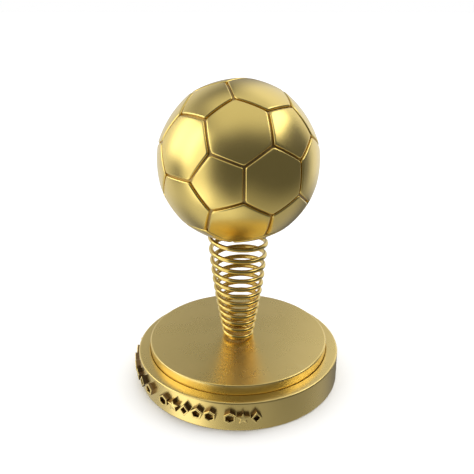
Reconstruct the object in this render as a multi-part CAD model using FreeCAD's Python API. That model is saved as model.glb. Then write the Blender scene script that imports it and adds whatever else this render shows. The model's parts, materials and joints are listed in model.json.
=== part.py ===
import FreeCAD, Part

import math
import os

# Football trophy: a panelled gold ball standing on a conical coil spring,
# which stands on a round base of two tiers with a raised frieze on its rim.
# Units are millimetres. The origin is the centre of the felt pad's underside,
# +Z is up and -Y is the front of the trophy.

Vector = FreeCAD.Vector
UP = Vector(0, 0, 1)

# ---- driving dimensions of the base ----
BASE_RADIUS = 59.6           # the rim's vertical wall
BASE_GROUND_GAP = 0.4        # the rim floats this far above the table, on its felt
LEDGE_HEIGHT = 17.7          # top face of the lower plinth
LEDGE_BEVEL = 0.9
RECESS_RADIUS = 53.0         # bore that receives the upper plinth
RECESS_FLOOR = 13.5
WEB_THICKNESS = 4.0          # solid web under the recess
UPPER_RADIUS = 52.5
UPPER_BEVEL = 0.6
TOP_HEIGHT = 23.35           # top face of the upper plinth
UPPER_RELIEF_RADII = (14.0, 45.0)
UPPER_RELIEF_DEPTH = 5.0

FELT_RADIUS = 51.5
FELT_THICKNESS = 1.6
COVER_RADIUS = 53.4          # steel plate that closes the base from below
COVER_THICKNESS = 1.6
COVER_CLEARANCE = 0.1
CAVITY_RADIUS = 50.0
COVER_SCREW_CIRCLE = 44.0
COVER_SCREW_COUNT = 4
COVER_SCREW_TURN = 45.0      # degrees from +X to the first one
COVER_POST_RADIUS = 4.0

BALLAST_RADIUS = 38.0
BALLAST_BORE = 11.0
BALLAST_THICKNESS = 5.0
BALLAST_SCREW_CIRCLE = 28.0
BALLAST_SCREW_COUNT = 3
BALLAST_SCREW_TURN = 30.0
BALLAST_SCREW_DEPTH = 3.0    # how far these screws bite into the web

M3_RADIUS = 1.5
M3_HEAD_RADIUS = 2.8
M3_PAN_HEIGHT = 1.1
M3_SINK_DEPTH = 1.3
M3_BITE = 5.5

DOWEL_RADIUS = 1.5
DOWEL_CIRCLE = 48.5
DOWEL_REACH = 3.0            # into each plinth

# ---- the bolt that clamps the two tiers and carries the spring ----
BOLT_RADIUS = 3.0
BOLT_HEAD_FLATS = 10.0
BOLT_HEAD_HEIGHT = 4.0
WASHER_RADIUS = 6.4
WASHER_THICKNESS = 1.0
HOLE_CLEARANCE = 0.2
BOSS_SHANK_RADIUS = 4.9
BOSS_STUB_RADIUS = 6.4
BOSS_STUB_HEIGHT = 1.0
BOSS_STUB_BEVEL = 0.4
BOSS_FLOOR_GAP = 0.1
BOSS_THREAD_DEPTH = 8.6      # bore in the boss above the recess floor
BOLT_TIP_GAP = 1.0           # between the bolt's tip and the end of that bore

# ---- conical spring, wound left-handed, wide at the top ----
WIRE_RADIUS = 1.3
SPRING_TURNS = 11.0          # working turns between two crossings of the front
SPRING_TOP_RADIUS = 15.9
SPRING_FOOT_RADIUS = 8.1
SPRING_TAPER_BLEND = 0.22    # share of the taper that grows with the square
SPRING_TOP_HEIGHT = 84.85    # front crossing of the first working turn
PITCH_TOP = 7.6
PITCH_LEAST = 4.59
PITCH_LEAST_AT = 0.7         # fraction of the way down
CROWN_TURNS = 0.85           # from the first working turn up into the seat
CROWN_EASE = 0.75            # turns over which it levels out under the seat
CROWN_HEIGHT = 89.3
FOOT_TURNS = 0.72            # last part turn, lying on the upper plinth
FOOT_EASE = 0.5
FOOT_TUCK = 0.5              # inward drift of that part turn, per turn
SECTIONS_PER_TURN = 24       # the wire runs straight between its round sections
# the wire is divided where the moving bodies of the spring meet, in turns from the top
SPRING_CUTS = {
    "spring_crown_coil": (-CROWN_TURNS, 0.75),
    "spring_upper_coils": (0.75, 3.6),
    "spring_middle_coils": (3.6, 6.9),
    "spring_lower_coils": (6.9, 9.8),
    "spring_foot_coils": (9.8, SPRING_TURNS + FOOT_TURNS),
}

# ---- ball ----
BALL_CENTRE_HEIGHT = 129.84
CORE_RADIUS = 42.3           # floor of the channels between the panels
CORE_WALL = 2.2
HEXAGON_CROWN = 43.2         # distance of a panel's middle from the ball's centre
PENTAGON_CROWN = 43.4
PANEL_CURVATURE = 55.0       # panels are flatter than the ball
CHANNEL_WIDTH = 1.0
PANEL_EDGE_ROUND = 0.45
PANEL_BLANK_SPAN = (0.85, 1.1)   # a panel's blank, as shares of the core's radius
BALL_YAW = -44.4             # how the panel pattern is turned, in degrees
BALL_PITCH = 0.7
BALL_ROLL = 0.6

SEAT_RADIUS = 17.6           # socket in the underside of the ball
SEAT_CLEARANCE = 0.05
SEAT_FACE_HEIGHT = 90.6      # the top coil bears against this face
SEAT_THICKNESS = 4.0
SOCKET_DEPTH = 12.0          # how far the socket's cut runs on below that face
SPIGOT_RADIUS = 14.4
SPIGOT_HEIGHT = 1.0
CORE_BOSS_RADIUS = 20.2
CORE_BOSS_TOP = 99.0
M5_RADIUS = 2.5
M5_HEAD_RADIUS = 5.0
M5_NUT_FLATS = 8.0
M5_NUT_HEIGHT = 4.0
M5_TAIL = 1.2                # thread left standing past the nut
RING_WALL = 2.0
RING_HALF_HEIGHT = 4.0

# ---- frieze: plain geometric motifs standing proud of the rim ----
MOTIF_RELIEF = 2.6
MOTIF_HEIGHT = 7.2
MOTIF_STROKE = 1.05
MOTIF_MIDDLE = 9.8           # height of the frieze's centre line
MOTIF_START = 2.0            # the motifs are cut from blocks that start this far inside the rim
HEXAGON_SIZE = 0.94          # sizes of the motifs, as shares of their height
PENTAGON_SIZE = 0.96
LOZENGE_WIDTH = 0.8
STAR_WAIST = 0.45
# how much more than the stroke each opening's corners move in, to keep the stroke even
PENTAGON_MITRE = 1.15
LOZENGE_SIDE_MITRE = 1.55
LOZENGE_END_MITRE = 1.25
# angle of the first and the last motif from the front, and how many there are
FRIEZE_GROUPS = {
    "frieze_motifs_left": (-109.0, -53.5, 8),
    "frieze_motifs_middle": (-41.0, -14.0, 5),
    "frieze_motifs_right": (-4.0, 9.0, 3),
}


# ---- small helpers ----
def cylinder(radius, low, high, x=0.0, y=0.0):
    return Part.makeCylinder(radius, high - low, Vector(x, y, low), UP)


def cone(low_radius, high_radius, low, high, x=0.0, y=0.0):
    return Part.makeCone(low_radius, high_radius, high - low, Vector(x, y, low), UP)


def tube(inner, outer, low, high):
    return cylinder(outer, low, high).cut(cylinder(inner, low, high))


def on_circle(radius, count, start=0.0):
    for i in range(count):
        angle = math.radians(start + 360.0 * i / count)
        yield radius * math.cos(angle), radius * math.sin(angle)


def hexagon_prism(flats, low, high):
    radius = flats / math.sqrt(3.0)
    corners = [Vector(x, y, low) for x, y in on_circle(radius, 6)]
    outline = Part.makePolygon(corners + corners[:1])
    return Part.Face(outline).extrude(UP * (high - low))


def turned(points):
    """Solid of revolution about Z from an (r, z) outline."""
    corners = [Vector(r, 0, z) for r, z in points]
    outline = Part.makePolygon(corners + corners[:1])
    return Part.Face(outline).revolve(Vector(0, 0, 0), UP, 360)


def unit(vector):
    return vector * (1.0 / vector.Length)


def frame_matrix(x, y, z, origin):
    """Moves the plain frame to one with these axes and this origin."""
    return FreeCAD.Matrix(x.x, y.x, z.x, origin.x,
                          x.y, y.y, z.y, origin.y,
                          x.z, y.z, z.z, origin.z,
                          0, 0, 0, 1)


def save(name, shape):
    if isinstance(shape, (list, tuple)):
        shape = Part.makeCompound(list(shape))
    shape.exportStep("parts/" + name + ".step")
    valid = "valid" if shape.isValid() else "INVALID"
    print(f"{name}: {len(shape.Solids)} solid(s), {shape.Volume:.1f} mm3, {valid}")


# ---- base ----
COVER_TOP = FELT_THICKNESS + COVER_THICKNESS
WEB_UNDERSIDE = RECESS_FLOOR - WEB_THICKNESS
BALLAST_UNDERSIDE = WEB_UNDERSIDE - BALLAST_THICKNESS


def countersunk_screw(x, y, low, head_radius, shank_radius, sink, tip):
    head = cone(head_radius, shank_radius, low, low + sink, x, y)
    return head.fuse(cylinder(shank_radius, low + sink, tip, x, y)).removeSplitter()


def make_felt_pad():
    return cylinder(FELT_RADIUS, 0.0, FELT_THICKNESS)


def cover_screws():
    tip = COVER_TOP + M3_BITE
    return [
        countersunk_screw(x, y, FELT_THICKNESS, M3_HEAD_RADIUS, M3_RADIUS, M3_SINK_DEPTH, tip)
        for x, y in on_circle(COVER_SCREW_CIRCLE, COVER_SCREW_COUNT, COVER_SCREW_TURN)
    ]


def make_bottom_plate(screws):
    plate = cylinder(COVER_RADIUS, FELT_THICKNESS, COVER_TOP)
    for screw in screws:
        plate = plate.cut(screw)
    return plate


def ballast_screws():
    screws = []
    for x, y in on_circle(BALLAST_SCREW_CIRCLE, BALLAST_SCREW_COUNT, BALLAST_SCREW_TURN):
        head = cylinder(M3_HEAD_RADIUS, BALLAST_UNDERSIDE - M3_PAN_HEIGHT, BALLAST_UNDERSIDE, x, y)
        shank = cylinder(M3_RADIUS, BALLAST_UNDERSIDE, WEB_UNDERSIDE + BALLAST_SCREW_DEPTH, x, y)
        screws.append(head.fuse(shank).removeSplitter())
    return screws


def make_ballast_disc():
    disc = tube(BALLAST_BORE, BALLAST_RADIUS, BALLAST_UNDERSIDE, WEB_UNDERSIDE)
    for x, y in on_circle(BALLAST_SCREW_CIRCLE, BALLAST_SCREW_COUNT, BALLAST_SCREW_TURN):
        disc = disc.cut(cylinder(M3_RADIUS, BALLAST_UNDERSIDE, WEB_UNDERSIDE, x, y))
    return disc


def plinth_dowels():
    return [
        cylinder(DOWEL_RADIUS, RECESS_FLOOR - DOWEL_REACH, RECESS_FLOOR + DOWEL_REACH, x, y)
        for x, y in on_circle(DOWEL_CIRCLE, 2)
    ]


def make_lower_plinth(screws, fixings, dowels):
    seat = COVER_RADIUS + COVER_CLEARANCE
    body = turned([
        (0.0, WEB_UNDERSIDE),
        (CAVITY_RADIUS, WEB_UNDERSIDE),
        (CAVITY_RADIUS, COVER_TOP),
        (seat, COVER_TOP),
        (seat, BASE_GROUND_GAP),
        (BASE_RADIUS - BASE_GROUND_GAP, BASE_GROUND_GAP),
        (BASE_RADIUS, 2 * BASE_GROUND_GAP),
        (BASE_RADIUS, LEDGE_HEIGHT - LEDGE_BEVEL),
        (BASE_RADIUS - LEDGE_BEVEL, LEDGE_HEIGHT),
        (RECESS_RADIUS + UPPER_BEVEL, LEDGE_HEIGHT),
        (RECESS_RADIUS, LEDGE_HEIGHT - UPPER_BEVEL),
        (RECESS_RADIUS, RECESS_FLOOR),
        (0.0, RECESS_FLOOR),
    ])
    for x, y in on_circle(COVER_SCREW_CIRCLE, COVER_SCREW_COUNT, COVER_SCREW_TURN):
        body = body.fuse(cylinder(COVER_POST_RADIUS, COVER_TOP, WEB_UNDERSIDE, x, y))
    body = body.cut(cylinder(BOLT_RADIUS + HOLE_CLEARANCE, WEB_UNDERSIDE, RECESS_FLOOR))
    for piece in screws + fixings + dowels:
        body = body.cut(piece)
    return body.removeSplitter()


def make_upper_plinth(dowels):
    inner, outer = UPPER_RELIEF_RADII
    bore = BOSS_SHANK_RADIUS + HOLE_CLEARANCE
    body = turned([
        (bore, RECESS_FLOOR),
        (inner, RECESS_FLOOR),
        (inner, RECESS_FLOOR + UPPER_RELIEF_DEPTH),
        (outer, RECESS_FLOOR + UPPER_RELIEF_DEPTH),
        (outer, RECESS_FLOOR),
        (UPPER_RADIUS, RECESS_FLOOR),
        (UPPER_RADIUS, TOP_HEIGHT - UPPER_BEVEL),
        (UPPER_RADIUS - UPPER_BEVEL, TOP_HEIGHT),
        (bore, TOP_HEIGHT),
    ])
    for dowel in dowels:
        body = body.cut(dowel)
    return body


def make_centre_bolt():
    head_top = WEB_UNDERSIDE - WASHER_THICKNESS
    head = hexagon_prism(BOLT_HEAD_FLATS, head_top - BOLT_HEAD_HEIGHT, head_top)
    shank = cylinder(BOLT_RADIUS, head_top, RECESS_FLOOR + BOSS_THREAD_DEPTH - BOLT_TIP_GAP)
    return head.fuse(shank).removeSplitter()


def make_centre_washer():
    return tube(BOLT_RADIUS + HOLE_CLEARANCE, WASHER_RADIUS, WEB_UNDERSIDE - WASHER_THICKNESS,
                WEB_UNDERSIDE)


def make_spring_clamp_boss():
    foot = RECESS_FLOOR + BOSS_FLOOR_GAP
    top = TOP_HEIGHT + BOSS_STUB_HEIGHT
    boss = turned([
        (0.0, foot),
        (BOSS_SHANK_RADIUS, foot),
        (BOSS_SHANK_RADIUS, TOP_HEIGHT),
        (BOSS_STUB_RADIUS, TOP_HEIGHT),
        (BOSS_STUB_RADIUS, top - BOSS_STUB_BEVEL),
        (BOSS_STUB_RADIUS - BOSS_STUB_BEVEL, top),
        (0.0, top),
    ])
    return boss.cut(cylinder(BOLT_RADIUS, RECESS_FLOOR, RECESS_FLOOR + BOSS_THREAD_DEPTH))


# ---- frieze ----
def regular_outline(sides, radius, turn):
    return [
        (radius * math.cos(math.radians(turn + 360.0 * i / sides)),
         radius * math.sin(math.radians(turn + 360.0 * i / sides)))
        for i in range(sides)
    ]


def star_outline(points, outer, inner):
    outline = []
    for i in range(2 * points):
        radius = outer if i % 2 == 0 else inner
        angle = math.radians(90.0 + 180.0 * i / points)
        outline.append((radius * math.cos(angle), radius * math.sin(angle)))
    return outline


def lozenge_outline(half_width, half_height):
    return [(half_width, 0.0), (0.0, half_height), (-half_width, 0.0), (0.0, -half_height)]


def flat_face(outline):
    """An upright face just inside the front of the rim."""
    corners = [Vector(x, MOTIF_START - BASE_RADIUS, MOTIF_MIDDLE + z) for x, z in outline]
    return Part.Face(Part.makePolygon(corners + corners[:1]))


def framed(outer, inner):
    return flat_face(outer).cut(flat_face(inner)).Faces


HALF = MOTIF_HEIGHT / 2.0


def hexagon_motif():
    radius = HALF * HEXAGON_SIZE
    return framed(regular_outline(6, radius, 90.0),
                  regular_outline(6, radius - MOTIF_STROKE, 90.0))


def lozenge_motif():
    half_width = HALF * LOZENGE_WIDTH
    return framed(lozenge_outline(half_width, HALF),
                  lozenge_outline(half_width - MOTIF_STROKE * LOZENGE_END_MITRE,
                                  HALF - MOTIF_STROKE * LOZENGE_SIDE_MITRE))


def star_motif():
    return [flat_face(star_outline(5, HALF, HALF * STAR_WAIST))]


def pentagon_motif():
    radius = HALF * PENTAGON_SIZE
    return framed(regular_outline(5, radius, 90.0),
                  regular_outline(5, radius - MOTIF_STROKE * PENTAGON_MITRE, 90.0))


MOTIF_ORDER = [hexagon_motif, star_motif, lozenge_motif, pentagon_motif]


def make_frieze(first, last, count, skin):
    solids = []
    reach = Vector(0, -2 * (MOTIF_START + MOTIF_RELIEF), 0)
    for i in range(count):
        angle = first + (last - first) * i / (count - 1)
        for face in MOTIF_ORDER[i % len(MOTIF_ORDER)]():
            block = face.extrude(reach)
            block.rotate(Vector(0, 0, 0), UP, angle)
            solids += block.common(skin).Solids
    return solids


# ---- spring ----
def spring_radius(turn):
    fraction = min(max(turn / SPRING_TURNS, 0.0), 1.0)
    drop = (1 - SPRING_TAPER_BLEND) * fraction + SPRING_TAPER_BLEND * fraction ** 2
    radius = SPRING_TOP_RADIUS - (SPRING_TOP_RADIUS - SPRING_FOOT_RADIUS) * drop
    past = max(turn - SPRING_TURNS, 0.0)
    return radius - FOOT_TUCK * min(past, FOOT_EASE)


def working_height(turn):
    """Height of the wire's centre; the pitch follows a parabola down the spring."""
    fraction = turn / SPRING_TURNS
    offset = (fraction - PITCH_LEAST_AT) / PITCH_LEAST_AT
    extra = (PITCH_TOP - PITCH_LEAST) * PITCH_LEAST_AT / 3.0 * (offset ** 3 + 1.0)
    return SPRING_TOP_HEIGHT - SPRING_TURNS * (PITCH_LEAST * fraction + extra)


def ease(start, end, start_slope, length, u):
    """Cubic from start to end that leaves with start_slope and arrives level."""
    return (start * (1 + 2 * u) * (1 - u) ** 2 + end * u * u * (3 - 2 * u)
            + start_slope * length * u * (1 - u) ** 2)


def spring_height(turn):
    if turn < 0.0:
        u = min(-turn / CROWN_EASE, 1.0)
        return ease(SPRING_TOP_HEIGHT, CROWN_HEIGHT, PITCH_TOP, CROWN_EASE, u)
    if turn > SPRING_TURNS:
        step = 0.01
        slope = (working_height(SPRING_TURNS) - working_height(SPRING_TURNS - step)) / step
        u = min((turn - SPRING_TURNS) / FOOT_EASE, 1.0)
        return ease(working_height(SPRING_TURNS), TOP_HEIGHT + WIRE_RADIUS, slope, FOOT_EASE, u)
    return working_height(turn)


def spring_point(turn):
    angle = math.radians(360.0 * turn - 90.0)
    radius = spring_radius(turn)
    return Vector(radius * math.cos(angle), radius * math.sin(angle), spring_height(turn))


def wire_section(turn):
    """The wire's round section, square to its run, with its seam facing outwards."""
    tiny = 0.001
    tangent = unit(spring_point(turn + tiny) - spring_point(turn - tiny))
    centre = spring_point(turn)
    outwards = Vector(centre.x, centre.y, 0)
    x_axis = unit(outwards - tangent * tangent.dot(outwards))
    circle = Part.Wire(Part.Circle(Vector(0, 0, 0), UP, WIRE_RADIUS).toShape())
    circle.transformShape(frame_matrix(x_axis, tangent.cross(x_axis), tangent, centre))
    return circle


def make_coils(first, last):
    count = int(math.ceil((last - first) * SECTIONS_PER_TURN))
    step = (last - first) / count
    sections = [wire_section(first + step * i) for i in range(count + 1)]
    faces = [Part.Face(sections[0]), Part.Face(sections[-1])]
    for near, far in zip(sections, sections[1:]):
        faces.append(Part.makeRuledSurface(near.Edges[0], far.Edges[0]))
    skin = Part.makeShell(faces)
    skin.sewShape()
    coils = Part.makeSolid(skin.Shells[0] if skin.Shells else skin)
    if coils.Volume < 0:
        coils.reverse()
    return coils


# ---- ball ----
BALL_CENTRE = Vector(0, 0, BALL_CENTRE_HEIGHT)
GOLDEN = (1.0 + math.sqrt(5.0)) / 2.0
ICOSAHEDRON_EDGE = 2.0
NEIGHBOUR_REACH = ICOSAHEDRON_EDGE * 1.05   # its other distances are far longer


def icosahedron_corners():
    corners = []
    for a in (-1.0, 1.0):
        for b in (-GOLDEN, GOLDEN):
            corners += [Vector(0, a, b), Vector(a, b, 0), Vector(b, 0, a)]
    turn = FreeCAD.Rotation(BALL_YAW, BALL_PITCH, BALL_ROLL)
    return [turn.multVec(corner) for corner in corners]


def neighbours(corner, corners):
    return [
        other for other in corners
        if other is not corner and (other - corner).Length < NEIGHBOUR_REACH
    ]


class PanelPlace:
    """Where one panel sits: its own frame has -X outwards and Y through one corner."""

    def __init__(self, kind, normal, corner):
        self.kind = kind
        self.x_axis = normal * -1.0
        self.y_axis = unit(corner - normal * normal.dot(corner))
        self.z_axis = self.x_axis.cross(self.y_axis)

    def matrix(self):
        return frame_matrix(self.x_axis, self.y_axis, self.z_axis, BALL_CENTRE)


def panel_places():
    """Pentagons sit on the icosahedron's corners and hexagons on its faces."""
    corners = icosahedron_corners()
    for corner in corners:
        other = neighbours(corner, corners)[0]
        yield PanelPlace("pentagon", unit(corner), unit(corner * 2.0 + other))
    for i, a in enumerate(corners):
        for j, b in enumerate(corners[:i]):
            for c in corners[:j]:
                sides = [(a - b).Length, (b - c).Length, (c - a).Length]
                if max(sides) < NEIGHBOUR_REACH:
                    yield PanelPlace("hexagon", unit(a + b + c), unit(a * 2.0 + b))


def seam_corners(count):
    """Unit directions from the ball's centre to a panel's corners, in its own frame."""
    # a truncated icosahedron of unit radius has edges of this length
    edge = 1.0 / math.sqrt(1.0 + 9.0 * GOLDEN ** 2) * 2.0
    reach = edge / (2.0 * math.sin(math.pi / count))
    depth = math.sqrt(1.0 - reach * reach)
    return [
        Vector(-depth, reach * math.cos(2 * math.pi * i / count),
               reach * math.sin(2 * math.pi * i / count))
        for i in range(count)
    ]


def wedge_ring(walls, level):
    """Corners of the stump where its walls meet a plane square to the panel."""
    ring = []
    outward = Vector(-1, 0, 0)
    for i in range(len(walls)):
        first, second = walls[i - 1], walls[i]
        determinant = outward.dot(first.cross(second))
        ring.append((first.cross(second) * level
                     + second.cross(outward) * (CHANNEL_WIDTH / 2)
                     + outward.cross(first) * (CHANNEL_WIDTH / 2)) * (1.0 / determinant))
    return ring


def panel_wedge(count):
    """Pyramid stump whose walls stand half a channel inside the panel's seams."""
    around = seam_corners(count)
    walls = []
    for i in range(count):
        wall = unit(around[i].cross(around[(i + 1) % count]))
        walls.append(wall if wall.x < 0 else wall * -1.0)
    rings = [wedge_ring(walls, CORE_RADIUS * share) for share in PANEL_BLANK_SPAN]
    faces = [Part.Face(Part.makePolygon(ring + ring[:1])) for ring in rings]
    for i in range(count):
        j = (i + 1) % count
        quad = [rings[0][i], rings[0][j], rings[1][j], rings[1][i], rings[0][i]]
        faces.append(Part.Face(Part.makePolygon(quad)))
    return Part.makeSolid(Part.makeShell(faces))


def make_panel(count, crown):
    """A panel in its own frame, where no sphere's seam or pole comes near it."""
    dome = Part.makeSphere(PANEL_CURVATURE, Vector(PANEL_CURVATURE - crown, 0, 0))
    core = Part.makeSphere(CORE_RADIUS, Vector(0, 0, 0))
    panel = panel_wedge(count).common(dome).cut(core).Solids[0]
    skin = CORE_RADIUS + PANEL_EDGE_ROUND
    rim = [
        edge for edge in panel.Edges
        if min(vertex.Point.Length for vertex in edge.Vertexes) > skin
    ]
    return panel.makeFillet(PANEL_EDGE_ROUND, rim)


def seat_socket():
    return cylinder(SEAT_RADIUS, SEAT_FACE_HEIGHT - SOCKET_DEPTH,
                    SEAT_FACE_HEIGHT + SEAT_THICKNESS)


def make_core_shell(upper):
    inner_radius = CORE_RADIUS - CORE_WALL
    half = CORE_RADIUS + 1.0
    low = BALL_CENTRE_HEIGHT if upper else BALL_CENTRE_HEIGHT - half
    slab = Part.makeBox(2 * half, 2 * half, half, Vector(-half, -half, low))
    outer = Part.makeSphere(CORE_RADIUS, BALL_CENTRE)
    inner = Part.makeSphere(inner_radius, BALL_CENTRE)
    shell = outer.cut(inner).common(slab)
    if not upper:
        boss = cylinder(CORE_BOSS_RADIUS, BALL_CENTRE_HEIGHT - half, CORE_BOSS_TOP).common(outer)
        shell = shell.fuse(boss).cut(seat_socket())
        bore = M5_RADIUS + HOLE_CLEARANCE
        shell = shell.cut(cylinder(bore, SEAT_FACE_HEIGHT, CORE_BOSS_TOP + 1.0))
    return shell.removeSplitter().Solids[0]


def make_locating_ring():
    outer = CORE_RADIUS - CORE_WALL
    ring = Part.makeSphere(outer, BALL_CENTRE)
    ring = ring.cut(cylinder(outer - RING_WALL, 0.0, 2 * BALL_CENTRE_HEIGHT))
    band = cylinder(outer, BALL_CENTRE_HEIGHT - RING_HALF_HEIGHT,
                    BALL_CENTRE_HEIGHT + RING_HALF_HEIGHT)
    return ring.common(band)


SEAT_BOLT_LOW = SEAT_FACE_HEIGHT - SPIGOT_HEIGHT
SEAT_BOLT_SINK = M5_HEAD_RADIUS - M5_RADIUS


def make_seat_bolt():
    tip = CORE_BOSS_TOP + M5_NUT_HEIGHT + M5_TAIL
    return countersunk_screw(0, 0, SEAT_BOLT_LOW, M5_HEAD_RADIUS, M5_RADIUS, SEAT_BOLT_SINK, tip)


def make_upper_spring_seat(bolt):
    disc = cylinder(SEAT_RADIUS - SEAT_CLEARANCE, SEAT_FACE_HEIGHT,
                    SEAT_FACE_HEIGHT + SEAT_THICKNESS)
    spigot = cylinder(SPIGOT_RADIUS, SEAT_BOLT_LOW, SEAT_FACE_HEIGHT)
    return disc.fuse(spigot).removeSplitter().cut(bolt)


def make_seat_nut():
    nut = hexagon_prism(M5_NUT_FLATS, CORE_BOSS_TOP, CORE_BOSS_TOP + M5_NUT_HEIGHT)
    return nut.cut(cylinder(M5_RADIUS, CORE_BOSS_TOP, CORE_BOSS_TOP + M5_NUT_HEIGHT))


# ---- build everything ----
def build_base():
    screws = cover_screws()
    fixings = ballast_screws()
    dowels = plinth_dowels()
    save("felt_pad", make_felt_pad())
    save("bottom_plate", make_bottom_plate(screws))
    save("bottom_plate_screws", screws)
    save("ballast_disc", make_ballast_disc())
    save("ballast_screws", fixings)
    save("lower_plinth", make_lower_plinth(screws, fixings, dowels))
    save("upper_plinth", make_upper_plinth(dowels))
    save("plinth_dowels", dowels)
    save("centre_bolt", make_centre_bolt())
    save("centre_washer", make_centre_washer())
    save("spring_clamp_boss", make_spring_clamp_boss())
    skin = tube(BASE_RADIUS, BASE_RADIUS + MOTIF_RELIEF, 0.0, LEDGE_HEIGHT)
    for name, (first, last, count) in FRIEZE_GROUPS.items():
        save(name, make_frieze(first, last, count, skin))


def build_spring():
    for name, (first, last) in SPRING_CUTS.items():
        save(name, make_coils(first, last))


def build_ball():
    bolt = make_seat_bolt()
    save("upper_spring_seat", make_upper_spring_seat(bolt))
    save("seat_bolt", bolt)
    save("seat_nut", make_seat_nut())
    save("core_lower_shell", make_core_shell(False))
    save("core_upper_shell", make_core_shell(True))
    save("core_locating_ring", make_locating_ring())
    shapes = {
        "pentagon": make_panel(5, PENTAGON_CROWN),
        "hexagon": make_panel(6, HEXAGON_CROWN),
    }
    numbers = {"pentagon": 0, "hexagon": 0}
    for place in panel_places():
        numbers[place.kind] += 1
        panel = shapes[place.kind].copy()
        panel.transformShape(place.matrix())
        if panel.BoundBox.ZMin < SEAT_FACE_HEIGHT + SEAT_THICKNESS:
            panel = panel.cut(seat_socket())
        save(f"{place.kind}_panel_{numbers[place.kind]:02d}", panel)


os.makedirs("parts", exist_ok=True)
build_base()
build_spring()
build_ball()
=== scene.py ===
import json
import math

import bpy
from mathutils import Matrix, Vector


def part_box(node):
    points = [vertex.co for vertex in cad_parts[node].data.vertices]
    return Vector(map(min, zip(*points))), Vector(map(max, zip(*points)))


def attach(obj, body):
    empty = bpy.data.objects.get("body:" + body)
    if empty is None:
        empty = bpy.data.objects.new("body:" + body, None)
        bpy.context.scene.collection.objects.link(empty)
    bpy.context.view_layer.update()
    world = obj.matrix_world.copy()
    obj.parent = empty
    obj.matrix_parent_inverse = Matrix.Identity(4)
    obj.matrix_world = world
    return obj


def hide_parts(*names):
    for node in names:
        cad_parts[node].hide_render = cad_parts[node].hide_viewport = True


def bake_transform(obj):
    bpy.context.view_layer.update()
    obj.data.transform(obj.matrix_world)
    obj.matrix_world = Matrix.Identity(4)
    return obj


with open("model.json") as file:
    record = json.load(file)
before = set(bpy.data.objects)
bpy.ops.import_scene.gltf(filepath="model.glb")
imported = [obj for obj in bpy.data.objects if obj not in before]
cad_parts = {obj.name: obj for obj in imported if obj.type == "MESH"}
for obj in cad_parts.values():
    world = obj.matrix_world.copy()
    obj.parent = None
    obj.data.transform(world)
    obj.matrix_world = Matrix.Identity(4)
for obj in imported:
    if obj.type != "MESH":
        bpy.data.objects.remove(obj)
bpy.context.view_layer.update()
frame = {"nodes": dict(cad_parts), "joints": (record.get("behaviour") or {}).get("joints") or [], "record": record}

# Football trophy: a panelled gold ball on a conical spring, on a two-tier base.
# Metres, in the frame of the CAD model: +Z up, -Y the front, floor at Z = 0.

MM = 0.001
UP = Vector((0, 0, 1))

# ---- places taken from the CAD frame ----
BASE_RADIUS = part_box("lower_plinth")[1].x
LEDGE_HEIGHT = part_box("lower_plinth")[1].z
RIM_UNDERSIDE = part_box("lower_plinth")[0].z
UPPER_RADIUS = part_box("upper_plinth")[1].x
TOP_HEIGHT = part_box("upper_plinth")[1].z
RECESS_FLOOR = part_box("upper_plinth")[0].z
BALL_CENTRE = Vector((0, 0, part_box("core_upper_shell")[0].z))
CORE_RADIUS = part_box("core_upper_shell")[1].z - BALL_CENTRE.z
SEAT_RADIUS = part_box("upper_spring_seat")[1].x
SEAT_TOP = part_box("upper_spring_seat")[1].z
BOSS_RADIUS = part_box("spring_clamp_boss")[1].x
BOSS_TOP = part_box("spring_clamp_boss")[1].z
BOSS_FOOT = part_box("spring_clamp_boss")[0].z
FRIEZE_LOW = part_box("frieze_motifs_middle")[0].z
FRIEZE_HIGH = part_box("frieze_motifs_middle")[1].z
FRIEZE_FACE = -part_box("frieze_motifs_left")[0].x   # distance of the motifs' fronts from the axis


# ---- mesh helpers ----
def new_piece(name, verts, faces, smooth=True):
    mesh = bpy.data.meshes.new(name)
    mesh.from_pydata([tuple(v) for v in verts], [], faces)
    mesh.validate()
    mesh.polygons.foreach_set("use_smooth", [smooth] * len(mesh.polygons))
    piece = bpy.data.objects.new(name, mesh)
    bpy.context.scene.collection.objects.link(piece)
    return piece


def rounded_profile(corners, steps=6, guard=0.2 * MM):
    """(r, z) points of an outline whose corners are (r, z, rounding), in order.
    A guard point just past each arc keeps the flat runs flat when shaded smooth."""
    points = []
    count = len(corners)
    for i, (r, z, rounding) in enumerate(corners):
        here = Vector((r, z))
        if rounding <= 0.0:
            points.append(here)
            continue
        before = (Vector(corners[i - 1][:2]) - here).normalized()
        after = (Vector(corners[(i + 1) % count][:2]) - here).normalized()
        half = before.angle(after) / 2.0
        reach = rounding / math.tan(half)
        centre = here + (before + after).normalized() * (rounding / math.sin(half))
        start, end = here + before * reach, here + after * reach
        points.append(start + before * guard)
        sweep = math.pi - 2.0 * half
        first, last = start - centre, end - centre
        for k in range(steps + 1):
            share = k / steps
            mixed = (first * math.sin((1 - share) * sweep) + last * math.sin(share * sweep))
            points.append(centre + mixed / math.sin(sweep))
        points.append(end + after * guard)
    return points


ON_AXIS = 1e-7


def turned_piece(name, corners, segments=256):
    """A closed solid of revolution about Z; corners with r = 0 close it on the axis."""
    verts, rings = [], []
    for r, z in rounded_profile(corners):
        if r < ON_AXIS:
            rings.append([len(verts)] * segments)
            verts.append((0.0, 0.0, z))
            continue
        rings.append(list(range(len(verts), len(verts) + segments)))
        for k in range(segments):
            angle = 2 * math.pi * k / segments
            verts.append((r * math.cos(angle), r * math.sin(angle), z))
    faces = []
    for i, ring in enumerate(rings):
        above = rings[(i + 1) % len(rings)]
        if ring[0] == ring[1] and above[0] == above[1]:
            continue
        for k in range(segments):
            n = (k + 1) % segments
            quad = [ring[k], ring[n], above[n], above[k]]
            faces.append(list(dict.fromkeys(quad)))
    piece = new_piece(name, verts, faces)
    face_outwards(piece)
    return piece


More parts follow.
